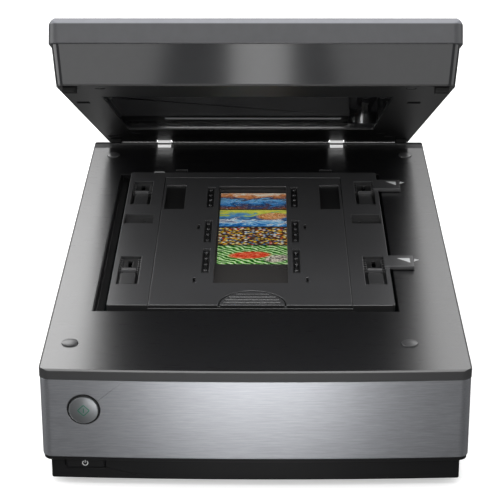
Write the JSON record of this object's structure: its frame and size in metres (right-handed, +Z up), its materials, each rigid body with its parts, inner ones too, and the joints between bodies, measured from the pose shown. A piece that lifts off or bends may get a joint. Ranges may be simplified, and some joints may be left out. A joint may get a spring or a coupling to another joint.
{
  "type": "film negative scanner",
  "caption": "Flatbed film scanner with a deep hinged lid that holds its own lamp unit, standing open over a roll-film holder on the glass.",
  "frame": {"origin": "on the table, below the middle of the scanner with its lid at rest", "axes": "+X to the right seen from the front, +Y from the front panel to the hinge, +Z up"},
  "size_m": [0.308, 0.5081, 0.3287],
  "materials": {
    "dark_shell": "dark grey, semi-gloss",
    "black_plastic": "black, fine texture",
    "silver_panel": "silver paint, satin",
    "glass": "clear",
    "lid_glass": "smoked",
    "clear_plate": "clear",
    "light_caps": "light grey",
    "white_plastic": "white",
    "steel": "plain steel",
    "board": "green lacquered board",
    "rubber": "black rubber",
    "bronze": "sintered bronze",
    "lamp": "white lamp tube in its holder",
    "mirror": "silvered glass",
    "button_silver": "silver plated",
    "hinge_metal": "polished",
    "lid_shell": "dark blue-grey, semi-gloss",
    "lid_top": "dark blue-grey, satin",
    "holder_plastic": "dark grey, fine texture",
    "film": "developed colour film"
  },
  "bodies": {
    "base": {"base_tray": "black_plastic", "rubber_feet": "rubber", "top_cover": "dark_shell", "front_panel": "silver_panel", "start_ring": "black_plastic", "platen_frame": "black_plastic", "platen_glass": "glass", "top_caps": "light_caps", "calibration_strip": "white_plastic", "tray_screws": "steel", "main_board": "board", "usb_socket": "steel", "power_inlet": "black_plastic", "lid_socket": "steel", "button_board": "board", "scan_motor": "steel", "guide_rod": "steel", "slide_rail": "steel", "drive_belt": "rubber", "idler_bracket": "steel", "hinge_sockets": "black_plastic"},
    "scan_pulley": {"scan_pulley": "white_plastic"},
    "scan_idler": {"scan_idler": "white_plastic"},
    "carriage": {"scan_carriage": "black_plastic", "carriage_bushes": "bronze", "scan_lamp": "lamp", "scan_mirrors": "mirror", "lens_pair": "black_plastic", "sensor_board": "board"},
    "start_button": {"start_button": "button_silver"},
    "power_button": {"power_button": "black_plastic"},
    "transport_lock": {"transport_lock": "black_plastic"},
    "posts": {"hinge_posts": "hinge_metal"},
    "lid": {"lid_case": "lid_shell", "lid_top_cover": "lid_top", "lid_window": "lid_glass", "hinge_pins": "steel", "lid_pads": "rubber", "lid_screws": "steel", "lid_rod": "steel", "lid_belt": "rubber", "lid_motor": "steel", "lid_board": "steel", "lid_spring": "steel"},
    "lid_pulley": {"lid_pulley": "white_plastic"},
    "lid_idler": {"lid_idler": "white_plastic"},
    "lamp_carriage": {"lamp_carriage": "black_plastic", "lid_lamp": "lamp"},
    "holder": {"film_holder": "holder_plastic", "film_support": "clear_plate", "film_strip": "film"},
    "film_cover": {"film_cover": "holder_plastic"},
    "adjuster_front_left": {"adjuster_front_left": "black_plastic"},
    "adjuster_front_right": {"adjuster_front_right": "black_plastic"},
    "adjuster_rear_left": {"adjuster_rear_left": "black_plastic"},
    "adjuster_rear_right": {"adjuster_rear_right": "black_plastic"}
  },
  "joints": [
    {"name": "lid_lift", "type": "slide", "parent": "base", "child": "posts", "axis": [0, 0, 1], "range_m": [0, 0.025]},
    {"name": "lid_hinge", "type": "hinge", "parent": "posts", "child": "lid", "pos_m": [0, 0.226, 0.118], "axis": [-1, 0, 0], "range_deg": [-24.25, 35.75]},
    {"name": "start_press", "type": "slide", "parent": "base", "child": "start_button", "axis": [0, 1, 0], "range_m": [0, 0.0012], "stiffness_N_per_m": 1500, "springref_m": -0.0008},
    {"name": "power_press", "type": "slide", "parent": "base", "child": "power_button", "axis": [0, 1, 0], "range_m": [0, 0.001], "stiffness_N_per_m": 1500, "springref_m": -0.0008},
    {"name": "lock_slide", "type": "slide", "parent": "base", "child": "transport_lock", "axis": [1, 0, 0], "range_m": [0, 0.008]},
    {"name": "carriage_slide", "type": "slide", "parent": "base", "child": "carriage", "axis": [0, 1, 0], "range_m": [0, 0.34]},
    {"name": "scan_pulley_spin", "type": "hinge", "parent": "base", "child": "scan_pulley", "pos_m": [0.052, 0.208, 0.031], "axis": [0, 0, 1], "range_deg": [-2700, 10]},
    {"name": "scan_idler_spin", "type": "hinge", "parent": "base", "child": "scan_idler", "pos_m": [0.052, -0.226, 0.031], "axis": [0, 0, 1], "range_deg": [-2700, 10]},
    {"name": "lamp_slide", "type": "slide", "parent": "lid", "child": "lamp_carriage", "axis": [0, -0.9118, 0.4107], "range_m": [0, 0.206]},
    {"name": "lid_pulley_spin", "type": "hinge", "parent": "lid", "child": "lid_pulley", "pos_m": [0.092, 0.14212, 0.15579], "axis": [0, 0.4107, 0.9118], "range_deg": [-10, 2200]},
    {"name": "lid_idler_spin", "type": "hinge", "parent": "lid", "child": "lid_idler", "pos_m": [0.092, -0.10679, 0.26791], "axis": [0, 0.4107, 0.9118], "range_deg": [-10, 2200]},
    {"name": "holder_lift", "type": "slide", "parent": "base", "child": "holder", "axis": [0, 0, 1], "range_m": [0, 0.028]},
    {"name": "film_cover_hinge", "type": "hinge", "parent": "holder", "child": "film_cover", "pos_m": [0, 0.1345, 0.0967], "axis": [-1, 0, 0], "range_deg": [0, 28]},
    {"name": "adjust_front_left", "type": "slide", "parent": "holder", "child": "adjuster_front_left", "axis": [0, 1, 0], "range_m": [0, 0.009]},
    {"name": "adjust_front_right", "type": "slide", "parent": "holder", "child": "adjuster_front_right", "axis": [0, 1, 0], "range_m": [0, 0.009]},
    {"name": "adjust_rear_left", "type": "slide", "parent": "holder", "child": "adjuster_rear_left", "axis": [0, 1, 0], "range_m": [0, 0.009]},
    {"name": "adjust_rear_right", "type": "slide", "parent": "holder", "child": "adjuster_rear_right", "axis": [0, 1, 0], "range_m": [0, 0.009]}
  ],
  "couplings": [
    {"joint": "scan_pulley_spin", "follows": "carriage_slide", "rad_per_m": -135.14},
    {"joint": "scan_idler_spin", "follows": "carriage_slide", "rad_per_m": -135.14},
    {"joint": "lid_pulley_spin", "follows": "lamp_slide", "rad_per_m": 169.49},
    {"joint": "lid_idler_spin", "follows": "lamp_slide", "rad_per_m": 169.49}
  ]
}
